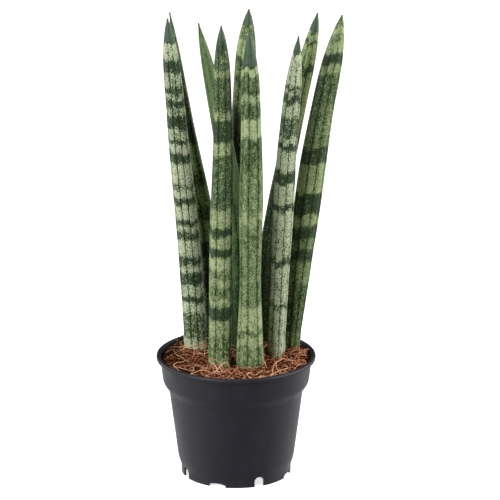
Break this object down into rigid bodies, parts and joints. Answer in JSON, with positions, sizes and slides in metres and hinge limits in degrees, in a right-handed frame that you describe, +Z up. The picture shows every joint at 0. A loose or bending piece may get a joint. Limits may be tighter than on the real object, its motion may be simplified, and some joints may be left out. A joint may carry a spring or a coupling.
{
  "type": "potted snake plant",
  "caption": "Cylindrical snake plant: thick round pointed leaves with dark and pale bands, standing in a black nursery pot under a layer of coconut fibre.",
  "frame": {"origin": "middle of the pot's underside, on the pot's axis, at the surface it stands on", "axes": "+Z up along the pot's axis to the leaf tips, -Y the side that faces the viewer, +X to the viewer's right"},
  "size_m": [0.1404, 0.12, 0.3515],
  "materials": {
    "pot_plastic": "satin",
    "soil": "matte",
    "coir": "matte",
    "leaf": "satin"
  },
  "bodies": {
    "root": {"pot": "pot_plastic", "potting_soil": "soil", "coir_mulch": "coir", "leaf_left_front": "leaf", "leaf_left_rear": "leaf", "leaf_rear_slender": "leaf", "leaf_front_left": "leaf", "leaf_front_right": "leaf", "leaf_rear_tallest": "leaf", "leaf_right_front": "leaf", "leaf_right_rear": "leaf", "leaf_far_right": "leaf"}
  },
  "joints": []
}
